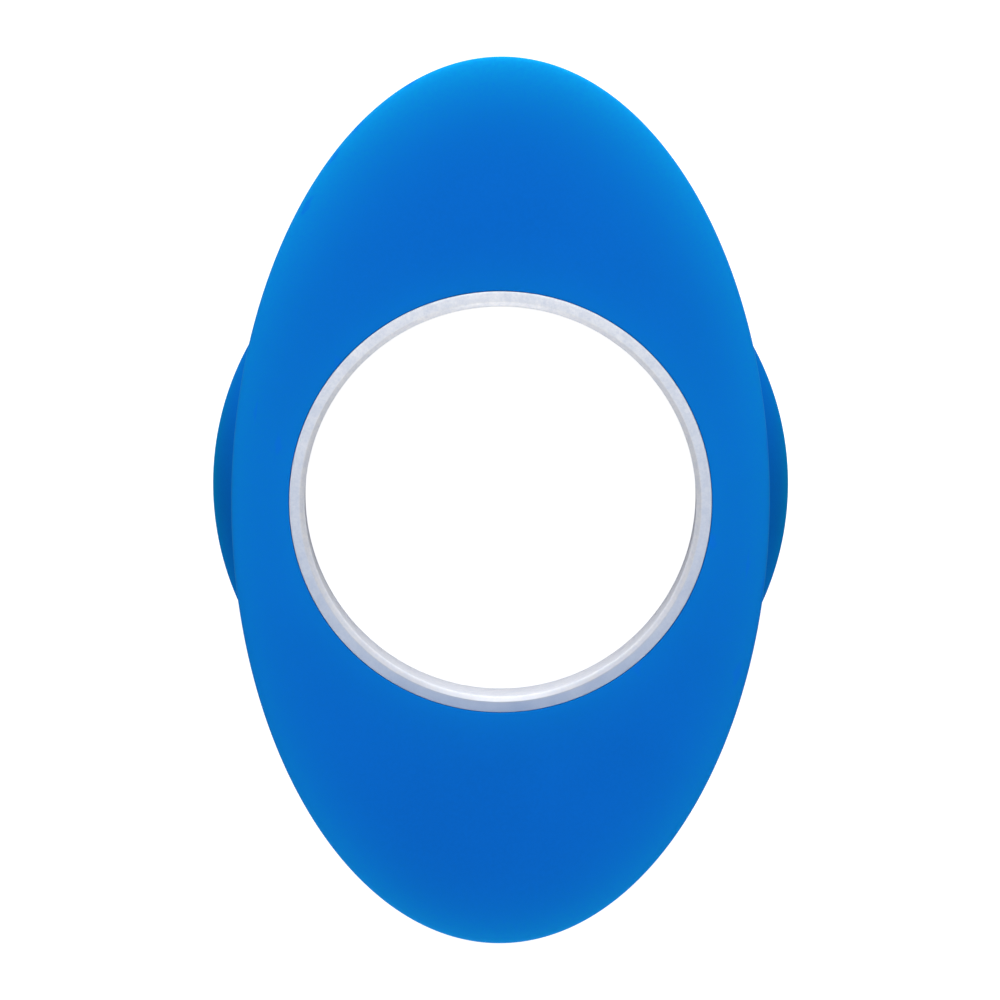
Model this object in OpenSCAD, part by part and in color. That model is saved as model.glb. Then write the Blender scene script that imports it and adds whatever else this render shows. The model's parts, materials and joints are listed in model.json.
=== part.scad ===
// Case opening friction ball: a hand tool for turning screwed watch case backs.
// A round body with an oval finger grip at its front carries a clear friction ring around
// a through hole. The bore axis is Z and the front faces up. Z = 0 is the rim of the open
// rear, on which the tool stands, and the grip's long axis is Y.

/* [Overall] */
// Height from the rear rim to the front lip
body_height = 32; // [28:0.5:40]
// Length of the oval grip over its two wings
grip_length = 89; // [74:1:110]
// Thickness of the oval grip at the ring
grip_thickness = 5; // [4.6:0.1:7]
// Height of the crowned front above the widest line of the grip
crown_height = 1.2; // [0.6:0.1:2.4]
// How far the ball stands out past the sides of the grip
ball_bulge = 2.1; // [1:0.05:6]

/* [Friction ring] */
// Bore of the friction ring
ring_bore = 39.1; // [32:0.1:50]
// Wall of the friction ring
ring_wall = 1.55; // [1.2:0.05:3]
// Height of the friction ring
ring_height = 8.2; // [6:0.1:13]
// Chamfer at the front of the ring's bore
ring_chamfer = 0.5; // [0.2:0.1:0.8]
// Radial clearance between the ring and its seat
ring_clearance = 0.03; // [0.01:0.01:0.08]

/* [Soft skins] */
// Thickness of the ball's soft skin at its widest line
skin_thickness = 2.6; // [1.6:0.1:3.6]
// Soft wall left at the sides of the grip, outside its hub
side_wall = 2.43; // [1.8:0.01:4]
// Soft wall left outside the hub where the ball meets the grip
neck_wall = 0.35; // [0.2:0.05:0.8]
// Soft wall left at the tips of the grip, outside its plate
tip_wall = 4; // [2.5:0.1:8]

/* [Rigid core] */
// Thickness of the stiffening plate in the grip
plate_thickness = 2; // [1.2:0.1:2.4]
// Wall of the sleeve around the ring
sleeve_wall = 1.24; // [1:0.02:2.5]
// Thickness of the shoulder that the ring rests on
shoulder_thickness = 1.5; // [1:0.1:3]
// Diameter of each dowel pin that stops the grip turning on the ball
pin_diameter = 1.3; // [0.8:0.1:2]
// Height of the clamp nut
nut_height = 4; // [2.5:0.1:6]
// Number of spanner notches in the clamp nut
notch_count = 6; // [2:1:10]

/* [Hidden] */
$fn = 96;
reach = 1; // how far a cutting solid runs past the face that it cuts

// Friction ring
bore_radius = ring_bore / 2;
ring_radius = bore_radius + ring_wall;
ring_base = body_height - ring_height;
ring_edge = 0.3; // chamfer on the ring's outer corners

// Sleeve
lip_gap = 0.03; // extra clearance where the ring passes the soft lip
shoulder_step = 0.6; // how far the shoulder reaches in under the ring
relief_wall = 0.9; // wall of the sleeve behind the shoulder
relief_depth = 11.3; // length of the sleeve behind the shoulder
flange_reach = 0.8;
flange_thickness = 0.8;
seat_radius = ring_radius + ring_clearance;
shoulder_radius = ring_radius - shoulder_step;
sleeve_radius = seat_radius + sleeve_wall;
sleeve_base = ring_base - shoulder_thickness - relief_depth;

// Grip and its plate
pin_wall = 0.4;
hub_radius = sleeve_radius + pin_diameter + 2 * pin_wall;
grip_width = 2 * (hub_radius + side_wall);
aspect = grip_width / grip_length;
grip_base = body_height - grip_thickness;
widest = body_height - crown_height;
crown_power = 6; // how flat the front stays before it turns down at the edge
flat_share = 0.96; // share of the outline that the flat underside fills
edge_steps = 10; // straight steps in each rounded edge
plate_floor = 1.2; // soft wall under the plate
plate_side = 2.4; // soft wall left at the sides, outside the plate
plate_base = grip_base + plate_floor;
plate_top = plate_base + plate_thickness;
plate_width = grip_width - 2 * plate_side;
plate_length = grip_length - 2 * tip_wall;

// Ball: it meets the underside of the grip along a circle just outside the hub
ball_radius = grip_width / 2 + ball_bulge;
meeting_radius = hub_radius + neck_wall;
ball_centre = grip_base - sqrt(pow(ball_radius, 2) - pow(meeting_radius, 2));
core_radius = ball_radius - skin_thickness;
foot_depth = 3; // how far the solid soft foot stops short of the sleeve
foot_wall = 2.4; // least width of the soft foot
core_base = sleeve_base - foot_depth;

// Clamp nut: its thread on the sleeve is left plain
nut_seat = sleeve_base + nut_height; // the step in the ball core that the nut pulls on
nut_radius = hub_radius - 0.8;
nut_gap = 0.2;
mouth_radius = nut_radius + nut_gap;
notch_width = 3;
notch_depth = 1.2;

// Dowel pins
pin_circle = sleeve_radius + pin_wall + pin_diameter / 2;
pin_depth = 5.5; // length of each pin in the ball core
pin_cover = 0.8; // plate left above each pin
pin_base = grip_base - pin_depth;
pin_top = plate_top - pin_cover;
pin_angle = 30; // each side of the long axis

module disc(radius, low, high) {
    translate([0, 0, low]) cylinder(r = radius, h = high - low);
}

// Half section of the grip: flat underside, rounded lower edge, crowned front
function lower_edge(share) = [
    grip_length / 2 * (flat_share + (1 - flat_share) * sin(90 * share)),
    widest - (widest - grip_base) * cos(90 * share)];
function crown_edge(share) = [
    grip_length / 2 * pow(cos(90 * share), 2 / crown_power),
    widest + crown_height * sin(90 * share)];

module grip_outer() {
    hull() scale([aspect, 1, 1]) rotate_extrude() polygon(concat(
        [[0, grip_base]],
        [for (i = [0 : edge_steps]) lower_edge(i / edge_steps)],
        [for (i = [1 : edge_steps]) crown_edge(i / edge_steps)]));
}

module core_plate() {
    translate([0, 0, plate_base])
        linear_extrude(plate_thickness)
            polygon([for (i = [0 : $fn - 1])
                [plate_width / 2 * cos(i * 360 / $fn), plate_length / 2 * sin(i * 360 / $fn)]]);
    disc(hub_radius, grip_base, plate_base + plate_thickness / 2);
}

module oval_grip() {
    color("dodgerblue") difference() {
        grip_outer();
        core_plate();
        disc(seat_radius + lip_gap, grip_base - reach, body_height + reach);
    }
}

module wing_core() {
    color("navy") difference() {
        core_plate();
        disc(sleeve_radius, grip_base - reach, plate_top + reach);
        disc(sleeve_radius + flange_reach, plate_top - flange_thickness, plate_top + reach);
        pins();
    }
}

module core_outer() {
    intersection() {
        union() {
            translate([0, 0, ball_centre]) sphere(r = core_radius);
            disc(hub_radius, core_base, grip_base);
        }
        disc(ball_radius + reach, core_base, grip_base);
    }
}

module ball_skin() {
    color("dodgerblue") difference() {
        intersection() {
            union() {
                translate([0, 0, ball_centre]) sphere(r = ball_radius);
                disc(mouth_radius + foot_wall, 0, core_base);
            }
            disc(ball_radius + reach, 0, grip_base);
        }
        core_outer();
        disc(mouth_radius, -reach, core_base + reach);
        disc(sleeve_radius, 0, grip_base + reach);
    }
}

module ball_core() {
    color("navy") difference() {
        core_outer();
        disc(mouth_radius, core_base - reach, nut_seat);
        disc(sleeve_radius, core_base - reach, grip_base + reach);
        pins();
    }
}

module core_sleeve() {
    color("royalblue") difference() {
        union() {
            disc(sleeve_radius, sleeve_base, plate_top);
            disc(sleeve_radius + flange_reach, plate_top - flange_thickness, plate_top);
        }
        disc(seat_radius, ring_base, plate_top + reach);
        disc(shoulder_radius, sleeve_base, ring_base + reach);
        disc(sleeve_radius - relief_wall, sleeve_base - reach, ring_base - shoulder_thickness);
    }
}

module clamp_nut() {
    color("silver") difference() {
        disc(nut_radius, sleeve_base, nut_seat);
        disc(sleeve_radius, sleeve_base - reach, nut_seat + reach);
        for (i = [0 : notch_count - 1])
            rotate([0, 0, i * 360 / notch_count])
                translate([sleeve_radius - reach, -notch_width / 2, sleeve_base - reach])
                    cube([nut_radius - sleeve_radius + 2 * reach, notch_width, reach + notch_depth]);
    }
}

module pins() {
    for (side = [90, 270], turn = [-pin_angle, pin_angle])
        rotate([0, 0, side + turn])
            translate([pin_circle, 0, pin_base])
                cylinder(d = pin_diameter, h = pin_top - pin_base);
}

module drive_pins() {
    color("gainsboro") pins();
}

// Half section of the ring: straight bore with a chamfer at the front
module friction_ring() {
    color("aliceblue", 0.6) rotate_extrude() polygon([
        [bore_radius, ring_base],
        [ring_radius - ring_edge, ring_base],
        [ring_radius, ring_base + ring_edge],
        [ring_radius, body_height - ring_edge],
        [ring_radius - ring_edge, body_height],
        [bore_radius + ring_chamfer, body_height],
        [bore_radius, body_height - ring_chamfer]]);
}

oval_grip();
wing_core();
ball_skin();
ball_core();
core_sleeve();
clamp_nut();
drive_pins();
friction_ring();
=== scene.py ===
"""Looks of the case opening friction ball: soft blue grip and ball, milky friction ring, rigid core."""

import json
import math

import bpy
from mathutils import Matrix, Vector


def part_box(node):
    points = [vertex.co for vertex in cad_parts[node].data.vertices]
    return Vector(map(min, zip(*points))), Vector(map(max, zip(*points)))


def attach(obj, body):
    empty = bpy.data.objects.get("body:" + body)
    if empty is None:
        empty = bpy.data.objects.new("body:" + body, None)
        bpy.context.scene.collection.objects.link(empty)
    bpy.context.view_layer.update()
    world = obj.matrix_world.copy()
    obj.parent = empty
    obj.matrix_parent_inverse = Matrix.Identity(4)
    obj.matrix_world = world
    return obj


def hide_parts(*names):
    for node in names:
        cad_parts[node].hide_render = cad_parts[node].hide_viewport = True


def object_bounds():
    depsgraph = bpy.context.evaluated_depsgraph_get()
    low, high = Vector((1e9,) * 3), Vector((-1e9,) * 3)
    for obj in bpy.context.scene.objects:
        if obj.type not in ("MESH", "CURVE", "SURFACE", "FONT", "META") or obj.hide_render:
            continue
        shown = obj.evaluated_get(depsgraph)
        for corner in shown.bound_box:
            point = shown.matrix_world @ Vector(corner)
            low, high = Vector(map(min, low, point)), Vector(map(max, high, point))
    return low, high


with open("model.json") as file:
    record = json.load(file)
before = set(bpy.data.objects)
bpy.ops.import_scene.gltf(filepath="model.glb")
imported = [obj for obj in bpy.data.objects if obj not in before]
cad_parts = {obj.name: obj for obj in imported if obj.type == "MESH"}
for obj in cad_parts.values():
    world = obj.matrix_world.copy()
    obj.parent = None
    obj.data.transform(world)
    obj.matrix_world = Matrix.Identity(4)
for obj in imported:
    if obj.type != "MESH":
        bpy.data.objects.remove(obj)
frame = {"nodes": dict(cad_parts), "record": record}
cad_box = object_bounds()

MM = 0.001
scene = bpy.context.scene

# ---------------------------------------------------------------- camera
FRONT = cad_box[1][2]  # height of the front lip
CAMERA_TILT = math.radians(5.5)  # the camera leans over towards the upper wing
CAMERA_ROLL = math.radians(0.23)  # about its own line of sight
CAMERA_DISTANCE = 2000 * MM  # from the front plane
FRAME_WIDTH = 99.85 * MM  # what the frame spans on the front plane
SENSOR = 36.0  # camera sensor width in Blender's own units
AIM = Vector((-0.05 * MM, 0.21 * MM, FRONT))  # the front plane's point in the middle of the frame
CLIP_START, CLIP_END = 0.01, 20  # nearest and farthest that the camera sees, in metres


def make_camera():
    cam = bpy.data.objects.new("camera", bpy.data.cameras.new("camera"))
    scene.collection.objects.link(cam)
    away = Vector((0, math.sin(CAMERA_TILT), math.cos(CAMERA_TILT)))
    cam.location = AIM + away * CAMERA_DISTANCE
    turned = Matrix.Rotation(-CAMERA_TILT, 3, "X") @ Matrix.Rotation(CAMERA_ROLL, 3, "Z")
    cam.rotation_euler = turned.to_euler()
    cam.data.sensor_width = SENSOR
    cam.data.lens = SENSOR * CAMERA_DISTANCE / FRAME_WIDTH
    cam.data.clip_start = CLIP_START
    cam.data.clip_end = CLIP_END
    scene.camera = cam


make_camera()

# ---------------------------------------------------------------- sizes
GRIP_LOW, GRIP_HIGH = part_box("oval_grip")
_, WING_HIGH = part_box("wing_core")
_, SKIN_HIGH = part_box("ball_skin")
CORE_LOW, CORE_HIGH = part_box("ball_core")
SLEEVE_LOW, SLEEVE_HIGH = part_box("core_sleeve")
NUT_LOW, NUT_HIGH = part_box("clamp_nut")
RING_LOW, RING_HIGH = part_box("friction_ring")
MOUNTS = {m["name"]: m for m in frame["record"]["mounts"]}

# walls, steps and gaps inside the part, which no box gives
CROWN_HEIGHT = 1.2 * MM
PLATE_SIDE = 2.4 * MM  # soft wall at the sides of the stiff plate
PLATE_FLOOR = 1.2 * MM  # soft wall under the stiff plate
NECK_WALL = 0.35 * MM  # soft wall outside the hub where the ball meets the grip
NUT_GAP = 0.2 * MM
FLANGE_REACH = 0.8 * MM
FLANGE_THICKNESS = 0.8 * MM
RELIEF_WALL = 0.9 * MM  # wall of the sleeve behind its shoulder
SHOULDER_STEP = 0.6 * MM
SHOULDER_THICKNESS = 1.5 * MM
SEAT_GAP = 0.03 * MM
LIP_GAP = 0.035 * MM  # tighter than the solid's 0.06 mm, so that no dark groove shows
RING_CHAMFER = 0.5 * MM

HALF_WIDTH, HALF_LENGTH = GRIP_HIGH[0], GRIP_HIGH[1]
GRIP_BASE = GRIP_LOW[2]
RING_RADIUS = RING_HIGH[0]
BORE_RADIUS = MOUNTS["ring_bore"]["dims"]["r_mm"] * MM
HUB_RADIUS = WING_HIGH[0]  # the plate's half width, 0.03 mm more than the hub's own radius
PLATE_HALF_LENGTH, PLATE_TOP = WING_HIGH[1], WING_HIGH[2]
PLATE_HALF_WIDTH = HALF_WIDTH - PLATE_SIDE
PLATE_BASE = GRIP_BASE + PLATE_FLOOR
BALL_RADIUS = SKIN_HIGH[0]
NUT_RADIUS = NUT_HIGH[0]
MOUTH_RADIUS = NUT_RADIUS + NUT_GAP
FLANGE_RADIUS = SLEEVE_HIGH[0]
SLEEVE_RADIUS = FLANGE_RADIUS - FLANGE_REACH
SEAT_RADIUS = RING_RADIUS + SEAT_GAP
LIP_RADIUS = RING_RADIUS + LIP_GAP
SHOULDER_RADIUS = RING_RADIUS - SHOULDER_STEP
WIDEST = FRONT - CROWN_HEIGHT  # height of the grip's widest line
CROWN_POWER = 6  # how flat the front stays before it turns down at the edge
FLAT_SHARE = 0.96  # share of the outline that the flat underside fills

AROUND = 288  # steps round the bore axis
SHARP_ANGLE = math.radians(50)  # an edge that turns by more than this stays sharp


# ---------------------------------------------------------------- mesh helpers
def add_mesh(name, verts, faces, body, replaced):
    mesh = bpy.data.meshes.new(name)
    mesh.from_pydata(verts, [], faces)
    mesh.validate()
    mesh.update()
    for face in mesh.polygons:
        face.use_smooth = True
    obj = bpy.data.objects.new(name, mesh)
    scene.collection.objects.link(obj)
    mesh.set_sharp_from_angle(angle=SHARP_ANGLE)
    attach(obj, body)
    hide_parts(replaced)
    return obj


def sweep(sections):
    """Joins closed sections, one a step round the axis, into one closed skin."""
    count, size = len(sections), len(sections[0])
    verts = [p for section in sections for p in section]
    faces = []
    for i in range(count):
        j = (i + 1) % count
        for k in range(size):
            m = (k + 1) % size
            faces.append((i * size + k, j * size + k, j * size + m, i * size + m))
    return verts, faces


def revolve(outline):
    """A closed outline of (radius, height) points, counterclockwise, turned about Z."""
    sections = []
    for i in range(AROUND):
        turn = 2 * math.pi * i / AROUND
        sections.append([(r * math.cos(turn), r * math.sin(turn), z) for r, z in outline])
    return sweep(sections)


def rounded(corners, steps=5):
    """Rounds each (radius, height, fillet) corner of a closed outline with an arc."""
    outline = []
    count = len(corners)
    for i, (r, z, fillet) in enumerate(corners):
        here = Vector((r, z))
        if fillet == 0:
            outline.append((r, z))
            continue
        back = (Vector(corners[i - 1][:2]) - here).normalized()
        ahead = (Vector(corners[(i + 1) % count][:2]) - here).normalized()
        half = math.acos(max(-1, min(1, back.dot(ahead)))) / 2
        reach = fillet / math.tan(half)
        centre = here + (back + ahead).normalized() * (fillet / math.sin(half))
        start = here + back * reach - centre
        end = here + ahead * reach - centre
        sweep_angle = start.angle_signed(end)
        for s in range(steps + 1):
            turned = Matrix.Rotation(-sweep_angle * s / steps, 2) @ start
            outline.append(tuple(centre + turned))
    return outline


def subdivided(outline, longest):
    """Splits the long straight steps of a closed outline, for even quads."""
    fine = []
    for i, here in enumerate(outline):
        ahead = outline[(i + 1) % len(outline)]
        pieces = max(1, math.ceil(math.dist(here, ahead) / longest))
        for s in range(pieces):
            t = s / pieces
            fine.append((here[0] * (1 - t) + ahead[0] * t, here[1] * (1 - t) + ahead[1] * t))
    return fine


# ---------------------------------------------------------------- oval grip
def crown(x, y):
    """Height of the grip's front above a point."""
    share = math.hypot(x / HALF_WIDTH, y / HALF_LENGTH)
    return WIDEST + (FRONT - WIDEST) * math.sqrt(max(0.0, 1 - share ** CROWN_POWER))


def grip_section(turn):
    """Closed section of the soft grip at one eccentric angle.

    It runs out over the front, round the edge and back along the underside, then round the
    pocket for the stiff plate.
    """
    c, s = math.cos(turn), math.sin(turn)
    lip_fillet = 0.15 * MM
    front_end, edge_start = 0.93, 0.935  # shares of the outline
    line, line_depth = 0.12 * MM, 0.0016  # shut line: its height, and its depth as a share
    line_foot = 0.9995  # share of the outline just under the shut line
    lower_start = 2.4 * line  # where the lower edge starts, below the widest line
    fillet_steps, front_steps, edge_steps, underside_steps, roof_steps = 6, 30, 14, 7, 5
    points = []

    def on_circle(radius, z):
        points.append((radius * c, radius * s, z))

    def on_oval(share, z):
        points.append((HALF_WIDTH * share * c, HALF_LENGTH * share * s, z))

    # bore wall, then the rounded lip
    on_circle(LIP_RADIUS, PLATE_TOP)
    start = LIP_RADIUS + lip_fillet
    rim = crown(start * c, start * s)
    for i in range(fillet_steps + 1):
        a = math.pi / 2 * i / fillet_steps
        on_circle(LIP_RADIUS + lip_fillet * (1 - math.cos(a)), rim - lip_fillet * (1 - math.sin(a)))
    # front, blended from the round lip out to the oval outline
    for i in range(1, front_steps + 1):
        t = math.sin(math.pi / 2 * i / (front_steps + 1))
        x = (start + (HALF_WIDTH * front_end - start) * t) * c
        y = (start + (HALF_LENGTH * front_end - start) * t) * s
        points.append((x, y, crown(x, y)))
    # rounded upper edge
    first = math.acos(edge_start ** (CROWN_POWER / 2))
    for i in range(edge_steps + 1):
        a = first * (1 - i / edge_steps)
        on_oval(math.cos(a) ** (2 / CROWN_POWER), WIDEST + (FRONT - WIDEST) * math.sin(a))
    # shallow shut line just under the widest line
    on_oval(1.0, WIDEST - line)
    on_oval(1.0 - line_depth, WIDEST - 1.5 * line)
    on_oval(line_foot, WIDEST - 2 * line)
    # rounded lower edge, then the flat underside
    low = math.asin(min(1, lower_start / (WIDEST - GRIP_BASE)))
    for i in range(edge_steps + 1):
        a = low + (math.pi / 2 - low) * i / edge_steps
        share = FLAT_SHARE + (1 - FLAT_SHARE) * math.cos(a)
        on_oval(share, WIDEST - (WIDEST - GRIP_BASE) * math.sin(a))
    for i in range(1, underside_steps):
        t = i / underside_steps
        x = (HALF_WIDTH * FLAT_SHARE * (1 - t) + HUB_RADIUS * t) * c
        y = (HALF_LENGTH * FLAT_SHARE * (1 - t) + HUB_RADIUS * t) * s
        points.append((x, y, GRIP_BASE))
    # window for the hub and pocket for the plate
    on_circle(HUB_RADIUS, GRIP_BASE)
    on_circle(HUB_RADIUS, PLATE_BASE)
    plate_x = max(PLATE_HALF_WIDTH, HUB_RADIUS) * c
    plate_y = PLATE_HALF_LENGTH * s
    points.append((plate_x, plate_y, PLATE_BASE))
    points.append((plate_x, plate_y, PLATE_TOP))
    for i in range(1, roof_steps):
        t = i / roof_steps
        x = plate_x * (1 - t) + LIP_RADIUS * c * t
        y = plate_y * (1 - t) + LIP_RADIUS * s * t
        points.append((x, y, PLATE_TOP))
    return points


def make_grip():
    verts, faces = sweep([grip_section(2 * math.pi * i / AROUND) for i in range(AROUND)])
    obj = add_mesh("grip_shell", verts, faces, "holder", "oval_grip")
    # Painted light for the grip's material, a lighter cyan at the edges: strongest along the outline at
    # the two tips, more at the upper tip, where the light comes from, weakest round the ring, and fading
    # out away from both
    lip_light, lip_reach = 0.21, 3.0 * MM
    side_light, up_light, tip_light = 0.36, 0.16, 0.43
    side_reach, up_reach = 3.3, 1.0  # in mm: at the sides, and what the upper tip adds
    # painted light: this attribute carries the lighter edges and the lighter lip round the ring
    glow = obj.data.attributes.new("painted_rim_light", "FLOAT", "POINT")
    for vertex, item in zip(obj.data.vertices, glow.data):
        x, y = vertex.co.xy
        share = math.hypot(x / HALF_WIDTH, y / HALF_LENGTH)
        slope = math.hypot(x / HALF_WIDTH ** 2, y / HALF_LENGTH ** 2) / share
        to_outline = max(0.0, (1 - share) / slope)
        to_lip = max(0.0, math.hypot(x, y) - LIP_RADIUS)
        upward = y / HALF_LENGTH
        outer_reach = (side_reach + up_reach * upward) * MM
        strength = side_light + up_light * upward + tip_light * upward ** 2
        at_outline = strength * math.exp(-to_outline / outer_reach)
        item.value = min(1.0, at_outline + lip_light * math.exp(-to_lip / lip_reach))
    return obj


# ---------------------------------------------------------------- ball
def arc_between(radius, centre_z, low, high, steps):
    """Points of a circle about (0, centre_z) from height low to height high, on the right."""
    a = math.asin((low - centre_z) / radius)
    b = math.asin((high - centre_z) / radius)
    turns = [a + (b - a) * i / steps for i in range(steps + 1)]
    return [(radius * math.cos(turn), centre_z + radius * math.sin(turn)) for turn in turns]


def make_ball():
    top = SKIN_HIGH[2]
    meeting = HUB_RADIUS + NECK_WALL
    centre_z = top - math.sqrt(BALL_RADIUS ** 2 - meeting ** 2)
    core_radius = CORE_HIGH[0]
    foot, inner_foot = 1.0 * MM, 0.8 * MM
    inner_steps, foot_steps, ball_steps, core_steps = 6, 10, 64, 24
    outline = []
    # foot, from the mouth outwards
    for i in range(inner_steps + 1):
        a = math.pi / 2 * i / inner_steps
        outline.append((MOUTH_RADIUS + inner_foot * (1 - math.cos(a)), inner_foot * (1 - math.sin(a))))
    for i in range(foot_steps + 1):
        a = math.pi / 2 * i / foot_steps
        z = foot * (1 - math.cos(a))
        on_ball = math.sqrt(BALL_RADIUS ** 2 - (centre_z - z) ** 2)
        outline.append((on_ball - foot * (1 - math.sin(a)), z))
    # outside
    outline += arc_between(BALL_RADIUS, centre_z, foot, top, ball_steps)[1:]
    # inside, down the stiff core
    outline.append((HUB_RADIUS, top))
    core_meet = centre_z + math.sqrt(core_radius ** 2 - HUB_RADIUS ** 2)
    outline += arc_between(core_radius, centre_z, CORE_LOW[2], core_meet, core_steps)[::-1]
    outline.append((MOUTH_RADIUS, CORE_LOW[2]))
    verts, faces = revolve(outline)
    return add_mesh("ball_shell", verts, faces, "holder", "ball_skin")


# ---------------------------------------------------------------- friction ring
def make_ring():
    low, high = RING_LOW[2], RING_HIGH[2]
    corners = [
        (BORE_RADIUS, low, 0.15 * MM),
        (RING_RADIUS, low, 0.25 * MM),
        (RING_RADIUS, high, 0.08 * MM),
        (BORE_RADIUS + RING_CHAMFER, high, 0.12 * MM),
        (BORE_RADIUS, high - RING_CHAMFER, 0.2 * MM),
    ]
    verts, faces = revolve(subdivided(rounded(corners), longest=0.6 * MM))
    return add_mesh("ring_band", verts, faces, "ring", "friction_ring")


# ---------------------------------------------------------------- sleeve and nut
def make_sleeve():
    edge = 0.12 * MM
    low, high = SLEEVE_LOW[2], SLEEVE_HIGH[2]
    flange_low = high - FLANGE_THICKNESS
    relief = SLEEVE_RADIUS - RELIEF_WALL
    shoulder_high = RING_LOW[2]
    shoulder_low = shoulder_high - SHOULDER_THICKNESS
    corners = [
        (relief, low, edge),
        (SLEEVE_RADIUS, low, edge),
        (SLEEVE_RADIUS, flange_low, 0),
        (FLANGE_RADIUS, flange_low, edge),
        (FLANGE_RADIUS, high, edge),
        (SEAT_RADIUS, high, edge),
        (SEAT_RADIUS, shoulder_high, 0),
        (SHOULDER_RADIUS, shoulder_high, edge),
        (SHOULDER_RADIUS, shoulder_low, edge),
        (relief, shoulder_low, 0),
    ]
    verts, faces = revolve(subdivided(rounded(corners), longest=0.8 * MM))
    return add_mesh("sleeve_tube", verts, faces, "holder", "core_sleeve")


def make_nut():
    """Ring nut: rounded edges, with spanner notches cut in its rear face."""
    notches, notch_width, notch_depth = 6, 3 * MM, 1.2 * MM
    edge = 0.25 * MM
    inner, outer = SLEEVE_RADIUS, NUT_RADIUS
    low, high = NUT_LOW[2], NUT_HIGH[2]
    pitch = 2 * math.pi / notches
    half_angle = notch_width / 2 / ((inner + outer) / 2)
    slope = 0.35 * half_angle  # angle over which the side of a notch falls

    def rear(turn):
        """Height of the rear face at an angle: it steps in smoothly at each notch."""
        off = abs((turn + math.pi / notches) % pitch - math.pi / notches)
        share = max(0.0, min(1.0, (half_angle - off) / slope + 0.5))
        return low + notch_depth * share * share * (3 - 2 * share)

    # steps round the nut, in half notch widths from a notch's middle: close at its sides
    side = [-1.6, -1.3, -1.17, -1.1, -1.04, -1.0, -0.96, -0.9, -0.83, -0.7]
    bottom = [-0.35, 0, 0.35]
    far = 1.6
    gap = pitch - 2 * far * half_angle
    gap_steps = 24
    turns = []
    for i in range(notches):
        middle = 2 * math.pi * i / notches
        turns += [middle + half_angle * a for a in side + bottom]
        turns += [middle - half_angle * a for a in reversed(side)]
        turns += [middle + half_angle * far + gap * s / gap_steps for s in range(1, gap_steps)]
    sections = []
    for turn in turns:
        base = rear(turn)
        corners = [(inner, base, edge), (outer, base, edge), (outer, high, edge), (inner, high, edge)]
        outline = rounded(corners, steps=4)
        sections.append([(r * math.cos(turn), r * math.sin(turn), z) for r, z in outline])
    verts, faces = sweep(sections)
    return add_mesh("ring_nut", verts, faces, "holder", "clamp_nut")


# ---------------------------------------------------------------- materials
def new_material(name):
    mat = bpy.data.materials.new(name)
    mat.use_nodes = True
    tree = mat.node_tree
    tree.nodes.clear()
    out = tree.nodes.new("ShaderNodeOutputMaterial")
    bsdf = tree.nodes.new("ShaderNodeBsdfPrincipled")
    tree.links.new(bsdf.outputs["BSDF"], out.inputs["Surface"])
    return mat, tree, bsdf


def noise(tree, size, detail=3.0, roughness=0.55):
    """Noise whose grains are about size metres across."""
    coord = tree.nodes.new("ShaderNodeTexCoord")
    node = tree.nodes.new("ShaderNodeTexNoise")
    node.inputs["Scale"].default_value = 1 / size
    node.inputs["Detail"].default_value = detail
    node.inputs["Roughness"].default_value = roughness
    tree.links.new(coord.outputs["Object"], node.inputs["Vector"])
    return node.outputs["Fac"]


def ramp(tree, source, low, high, start=0.3, end=0.7):
    """Maps start to low and end to high, and holds those values beyond them."""
    node = tree.nodes.new("ShaderNodeMapRange")
    node.inputs["From Min"].default_value = start
    node.inputs["From Max"].default_value = end
    node.inputs["To Min"].default_value = low
    node.inputs["To Max"].default_value = high
    tree.links.new(source, node.inputs["Value"])
    return node.outputs["Result"]


def power(tree, source, exponent):
    node = tree.nodes.new("ShaderNodeMath")
    node.operation = "POWER"
    node.inputs[1].default_value = exponent
    tree.links.new(source, node.inputs[0])
    return node.outputs[0]


def shade(colour, factor):
    return tuple(c * factor for c in colour)


# sockets of a Mix node: its factor, its two colours and the mixed colour
MIX_FACTOR, MIX_A, MIX_B, MIX_RESULT = 0, 6, 7, 2


def mix_colour(tree, factor, a, b):
    """Mixes a into b by factor: each is a colour or another node's output."""
    node = tree.nodes.new("ShaderNodeMix")
    node.data_type = "RGBA"
    tree.links.new(factor, node.inputs[MIX_FACTOR])
    for index, value in ((MIX_A, a), (MIX_B, b)):
        if isinstance(value, tuple):
            node.inputs[index].default_value = (*value, 1)
        else:
            tree.links.new(value, node.inputs[index])
    return node.outputs[MIX_RESULT]


def bump(tree, bsdf, layers):
    """Stacks bumps: each layer is (height source, depth in metres)."""
    normal = None
    for height, depth in layers:
        node = tree.nodes.new("ShaderNodeBump")
        node.inputs["Strength"].default_value = 1.0
        node.inputs["Distance"].default_value = depth
        tree.links.new(height, node.inputs["Height"])
        if normal is not None:
            tree.links.new(normal, node.inputs["Normal"])
        normal = node.outputs["Normal"]
    tree.links.new(normal, bsdf.inputs["Normal"])


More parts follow.
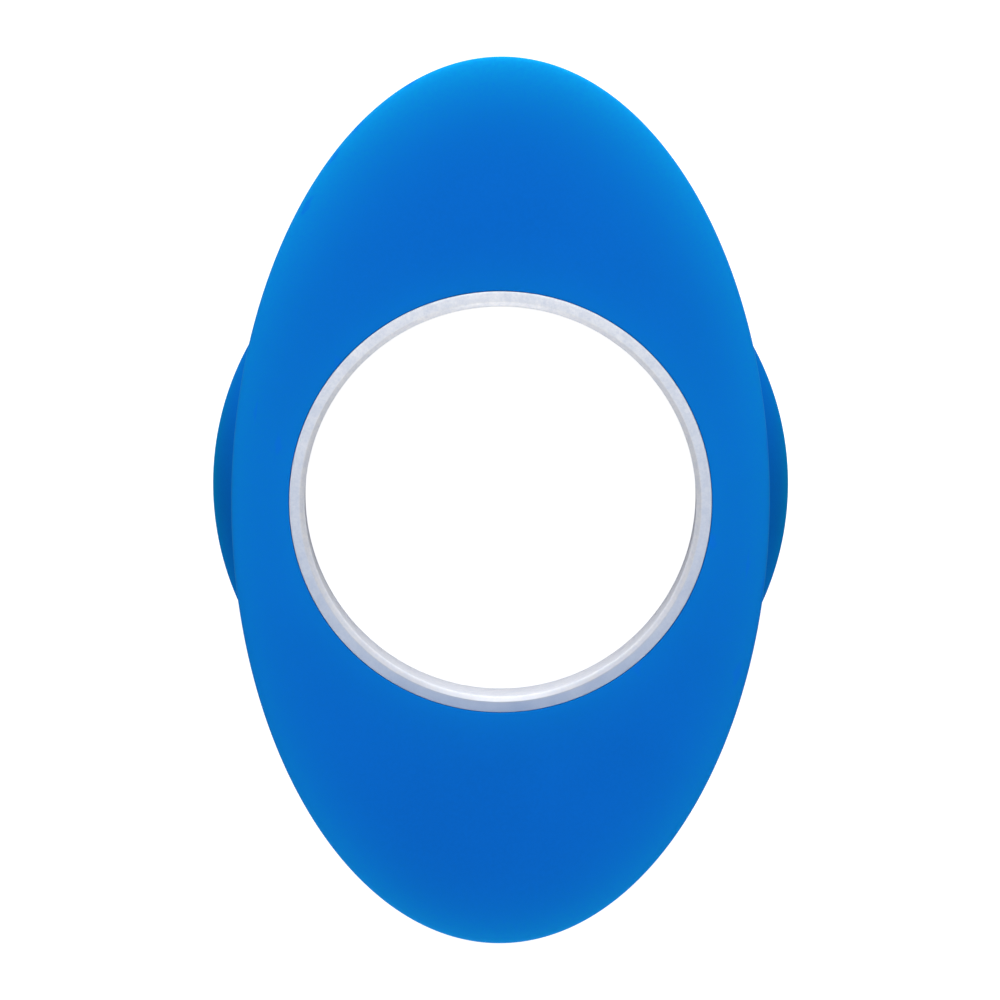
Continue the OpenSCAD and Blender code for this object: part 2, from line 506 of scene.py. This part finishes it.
def soft_touch(name, colour, gloss, sheen, rim_light_colour=None, rim_light_mask=None):
    """Satin moulded elastomer: fine spark-eroded grain, faint flow marks, lighter raised edges.

    The mask argument names the mesh attribute that brings in the rim colour: a painted light, lighter cyan
    on the edges.
    """
    mat, tree, bsdf = new_material(name)
    cloud_size, patch_size, speck_size = 14 * MM, 5 * MM, 0.35 * MM
    grain_size, grain_depth = 0.22 * MM, 0.006 * MM
    flow_size, flow_depth = 2.5 * MM, 0.02 * MM
    polished = shade(colour, 1.2)
    cloud = ramp(tree, noise(tree, cloud_size, detail=2), low=0.0, high=1.0)
    tone = mix_colour(tree, cloud, shade(colour, 0.97), shade(colour, 1.03))
    # painted light: lighter cyan on the edges and round the ring, from the mesh attribute
    if rim_light_mask:
        rim = tree.nodes.new("ShaderNodeAttribute")
        rim.attribute_name = rim_light_mask
        tone = mix_colour(tree, rim.outputs["Fac"], tone, rim_light_colour)
    speck = ramp(tree, noise(tree, speck_size, detail=2), low=0.0, high=0.30, start=0.35, end=0.75)
    tone = mix_colour(tree, speck, tone, polished)
    geometry = tree.nodes.new("ShaderNodeNewGeometry")
    worn = ramp(tree, geometry.outputs["Pointiness"], low=0.0, high=0.60, start=0.52, end=0.60)
    tone = mix_colour(tree, worn, tone, polished)
    tree.links.new(tone, bsdf.inputs["Base Color"])
    roughness = ramp(tree, noise(tree, patch_size), low=0.52, high=0.60)
    tree.links.new(roughness, bsdf.inputs["Roughness"])
    bsdf.inputs["IOR"].default_value = 1.45
    bsdf.inputs["Specular IOR Level"].default_value = gloss
    bsdf.inputs["Specular Tint"].default_value = (0.0, 0.95, 0.80, 1)
    bsdf.inputs["Sheen Weight"].default_value = sheen
    bsdf.inputs["Sheen Roughness"].default_value = 0.3
    bsdf.inputs["Sheen Tint"].default_value = (0.0, 0.80, 0.60, 1)
    grain = noise(tree, grain_size, detail=2)
    flow = noise(tree, flow_size, detail=2)
    bump(tree, bsdf, [(grain, grain_depth), (flow, flow_depth)])
    return mat


def shift(tree, low, high):
    """Runs 0 to 1 between two points of the frame, low to high."""
    coord = tree.nodes.new("ShaderNodeTexCoord")
    node = tree.nodes.new("ShaderNodeVectorMath")
    node.operation = "DOT_PRODUCT"
    along = Vector(high) - Vector(low)
    node.inputs[1].default_value = along / along.length
    tree.links.new(coord.outputs["Object"], node.inputs[0])
    start = Vector(low).dot(along) / along.length
    return ramp(tree, node.outputs["Value"], 0.0, 1.0, start, start + along.length)


def across_wall(tree, inner, outer):
    """Runs 1 at radius inner to 0 at radius outer from the bore axis."""
    coord = tree.nodes.new("ShaderNodeTexCoord")
    flat = tree.nodes.new("ShaderNodeVectorMath")
    flat.operation = "MULTIPLY"
    flat.inputs[1].default_value = (1, 1, 0)
    tree.links.new(coord.outputs["Object"], flat.inputs[0])
    length = tree.nodes.new("ShaderNodeVectorMath")
    length.operation = "LENGTH"
    tree.links.new(flat.outputs["Vector"], length.inputs[0])
    return ramp(tree, length.outputs["Value"], 1.0, 0.0, inner, outer)


def clear_ring():
    """Milky polyurethane, with painted light and shade: whiter towards +Y, bluer and darker towards -Y, on
    the face and on the chamfer; a tone of its own in the bore.
    """
    mat, tree, bsdf = new_material("milky_polyurethane")
    # the first two tones are the painted shaded and lit sides, and also the ring's own haze and blotch
    # tones
    clear_and_shaded_tone, milky_and_lit_tone, bore_tone = (0.29, 0.40, 0.63), (0.90, 0.92, 0.98), (0.86, 0.86, 0.88)
    chamfer_shaded, chamfer_lit = (0.38, 0.38, 0.40), (0.96, 0.96, 0.98)  # painted shade towards -Y and painted light towards +Y
    face_end, chamfer_start = 0.58, 0.70  # shares of the wall, from its outside to the bore
    haze_size, blotch_size, fleck_size = 0.9 * MM, 3.5 * MM, 0.30 * MM
    patch_size, ripple_size, ripple_depth = 0.8 * MM, 0.5 * MM, 0.003 * MM
    lit_power, bore_power = 0.6, 12.0  # how fast each tone comes in
    # painted light and shade: the tone runs from bluer and darker at -Y to whiter at +Y
    lit_share = power(tree, shift(tree, (0, -RING_RADIUS, 0), (0, RING_RADIUS, 0)), lit_power)
    tone = mix_colour(tree, lit_share, clear_and_shaded_tone, milky_and_lit_tone)
    wall = across_wall(tree, BORE_RADIUS, RING_RADIUS)
    chamfer = mix_colour(tree, lit_share, chamfer_shaded, chamfer_lit)
    near_bore = ramp(tree, wall, low=0.0, high=1.0, start=face_end, end=chamfer_start)
    tone = mix_colour(tree, near_bore, tone, chamfer)
    tone = mix_colour(tree, power(tree, wall, bore_power), tone, bore_tone)
    haze = ramp(tree, noise(tree, haze_size, detail=4), low=0.0, high=0.24)
    tone = mix_colour(tree, haze, tone, clear_and_shaded_tone)
    blotch = ramp(tree, noise(tree, blotch_size, detail=2), low=0.0, high=0.16)
    tone = mix_colour(tree, blotch, tone, milky_and_lit_tone)
    flecks = noise(tree, fleck_size, detail=2, roughness=0.7)
    tone = mix_colour(tree, ramp(tree, flecks, low=0.0, high=0.24, start=0.40, end=0.80), tone, clear_and_shaded_tone)
    tree.links.new(tone, bsdf.inputs["Base Color"])
    roughness = ramp(tree, noise(tree, patch_size, detail=3), low=0.30, high=0.42)
    tree.links.new(roughness, bsdf.inputs["Roughness"])
    bsdf.inputs["IOR"].default_value = 1.49
    bsdf.inputs["Transmission Weight"].default_value = 0.15
    bump(tree, bsdf, [(noise(tree, ripple_size, detail=3), ripple_depth)])
    return mat


def moulded_plastic(name, colour):
    """Plain rigid plastic, a little uneven in tone and gloss."""
    mat, tree, bsdf = new_material(name)
    cloud_size, patch_size = 6 * MM, 2 * MM
    grain_size, grain_depth = 0.3 * MM, 0.008 * MM
    cloud = ramp(tree, noise(tree, cloud_size), low=0, high=1)
    tone = mix_colour(tree, cloud, shade(colour, 0.9), shade(colour, 1.1))
    tree.links.new(tone, bsdf.inputs["Base Color"])
    roughness = ramp(tree, noise(tree, patch_size), low=0.42, high=0.55)
    tree.links.new(roughness, bsdf.inputs["Roughness"])
    bump(tree, bsdf, [(noise(tree, grain_size, detail=2), grain_depth)])
    return mat


def turned_metal(name, colour, roughness):
    """Lathe-turned metal: fine tool marks along the bore axis and about it."""
    mat, tree, bsdf = new_material(name)
    cloud_size, patch_size = 3 * MM, 1.5 * MM
    mark_scale, mark_depth = 1 / (1.2 * MM), 0.003 * MM
    smoother, rougher = roughness - 0.05, roughness + 0.08
    coord = tree.nodes.new("ShaderNodeTexCoord")
    marks = []
    for kind in ("BANDS", "RINGS"):
        wave = tree.nodes.new("ShaderNodeTexWave")
        wave.wave_type = kind
        wave.bands_direction = "Z"
        wave.rings_direction = "Z"
        wave.inputs["Scale"].default_value = mark_scale
        wave.inputs["Distortion"].default_value = 0.6
        tree.links.new(coord.outputs["Object"], wave.inputs["Vector"])
        marks.append((wave.outputs["Fac"], mark_depth))
    cloud = ramp(tree, noise(tree, cloud_size), low=0, high=1)
    tone = mix_colour(tree, cloud, shade(colour, 0.88), colour)
    tree.links.new(tone, bsdf.inputs["Base Color"])
    patches = ramp(tree, noise(tree, patch_size), low=smoother, high=rougher)
    tree.links.new(patches, bsdf.inputs["Roughness"])
    bsdf.inputs["Metallic"].default_value = 1.0
    bump(tree, bsdf, marks)
    return mat


def assign(obj, mat):
    obj.data.materials.clear()
    obj.data.materials.append(mat)


def assign_node(node, mat):
    """A carried-over CAD node keeps its mesh and gets the material in each of its slots."""
    for slot in frame["nodes"][node].material_slots:
        slot.material = mat


GRIP_BLUE = (0.0026, 0.118, 0.542)
# painted light: the lighter cyan given to the grip's edges and ring lip
RIM_LIGHT_BLUE = (0.003, 0.300, 0.670)
BALL_BLUE = (0.0024, 0.124, 0.560)
SLEEVE_BLUE = (0.01, 0.16, 0.55)
CORE_NAVY = (0.004, 0.06, 0.26)
ALUMINIUM = (0.72, 0.73, 0.75)
STEEL = (0.60, 0.60, 0.62)

grip = make_grip()
ball = make_ball()
ring = make_ring()
sleeve = make_sleeve()
nut = make_nut()

# the grip's edges and ring lip get a painted light from its rim attribute
assign(grip, soft_touch("grip_elastomer", GRIP_BLUE, 0.08, 0.20, RIM_LIGHT_BLUE, "painted_rim_light"))
assign(ball, soft_touch("ball_elastomer", BALL_BLUE, gloss=0.0, sheen=0.10))
assign(ring, clear_ring())
assign(sleeve, turned_metal("blue_anodised", SLEEVE_BLUE, roughness=0.35))
assign(nut, turned_metal("clear_anodised", ALUMINIUM, roughness=0.30))
core_plastic = moulded_plastic("core_plastic", CORE_NAVY)
assign_node("wing_core", core_plastic)
assign_node("ball_core", core_plastic)
assign_node("drive_pins", turned_metal("ground_steel", STEEL, roughness=0.25))


# ---------------------------------------------------------------- floor and light
FLOOR_REACH = 3.0  # half the floor's width, in metres
FLOOR_DROP = 0.02 * MM  # keeps the floor just clear of the rim that stands on it
FLOOR_TONE = (0.25, 0.25, 0.25, 1)
WHITE = (1, 1, 1, 1)
SEEN_GLOW, FLOOR_GLOW = 1.0, 0.35  # strength where it is seen, and where it only lights the part
LEVEL_GLOW, OVERHEAD_GLOW = 0.39, 0.12  # the world's light at eye level and overhead
# upward share of a direction: level glow up to the first, overhead glow from the second
LEVEL_HEIGHT, OVERHEAD_HEIGHT = 0.15, 0.75

# name, place and diameter in metres, and power in watts: each aims at the middle of the front
LIGHTS = [
    ("key_low", (0, 0.9, 0.25), 0.5, 8.6),
    ("key_high", (0, 0.6, 0.65), 0.5, 2.5),
    ("gloss", (0, 0.45, 0.95), 0.25, 3.1),
    ("fill_low", (0, -0.9, 0.15), 0.5, 8.0),
]


def make_floor():
    """Floor that looks pure white to the camera and through the ring, and is dimmer as light."""
    mesh = bpy.data.meshes.new("floor")
    signs = ((-1, -1), (1, -1), (1, 1), (-1, 1))
    corners = [(x * FLOOR_REACH, y * FLOOR_REACH, -FLOOR_DROP) for x, y in signs]
    mesh.from_pydata(corners, [], [(0, 1, 2, 3)])
    floor = bpy.data.objects.new("floor", mesh)
    scene.collection.objects.link(floor)
    mat = bpy.data.materials.new("white_floor")
    mat.use_nodes = True
    tree = mat.node_tree
    bsdf = tree.nodes["Principled BSDF"]
    bsdf.inputs["Base Color"].default_value = FLOOR_TONE
    bsdf.inputs["Roughness"].default_value = 1.0
    bsdf.inputs["Specular IOR Level"].default_value = 0.0
    bsdf.inputs["Emission Color"].default_value = WHITE
    path = tree.nodes.new("ShaderNodeLightPath")
    seen = tree.nodes.new("ShaderNodeMath")
    seen.operation = "MAXIMUM"
    tree.links.new(path.outputs["Is Camera Ray"], seen.inputs[0])
    tree.links.new(path.outputs["Is Transmission Ray"], seen.inputs[1])
    strength = ramp(tree, seen.outputs[0], low=FLOOR_GLOW, high=SEEN_GLOW, start=0, end=1)
    tree.links.new(strength, bsdf.inputs["Emission Strength"])
    mesh.materials.append(mat)


def add_area(name, place, size, watts):
    """Round lamp that aims at the middle of the front."""
    light = bpy.data.lights.new(name, "AREA")
    light.shape = "DISK"
    light.size = size
    light.energy = watts
    obj = bpy.data.objects.new(name, light)
    obj.location = place
    aim = Vector((0, 0, FRONT)) - Vector(place)
    obj.rotation_euler = aim.to_track_quat("-Z", "Y").to_euler()
    scene.collection.objects.link(obj)


def make_world():
    """Surroundings that look pure white to the camera; as light, dimmer overhead than at eye level."""
    world = bpy.data.worlds.new("studio")
    scene.world = world
    world.use_nodes = True
    tree = world.node_tree
    back = tree.nodes["Background"]
    coord = tree.nodes.new("ShaderNodeTexCoord")
    split = tree.nodes.new("ShaderNodeSeparateXYZ")
    tree.links.new(coord.outputs["Generated"], split.inputs["Vector"])
    glow = ramp(tree, split.outputs["Z"], LEVEL_GLOW, OVERHEAD_GLOW, LEVEL_HEIGHT, OVERHEAD_HEIGHT)
    path = tree.nodes.new("ShaderNodeLightPath")
    seen = tree.nodes.new("ShaderNodeMix")  # mixes plain numbers: sockets 2 and 3 are its A and B
    tree.links.new(path.outputs["Is Camera Ray"], seen.inputs[0])
    tree.links.new(glow, seen.inputs[2])
    seen.inputs[3].default_value = SEEN_GLOW
    tree.links.new(seen.outputs[0], back.inputs["Strength"])
    back.inputs["Color"].default_value = WHITE


make_floor()
make_world()
for name, place, size, watts in LIGHTS:
    add_area(name, place, size, watts)
scene.view_settings.view_transform = "Standard"
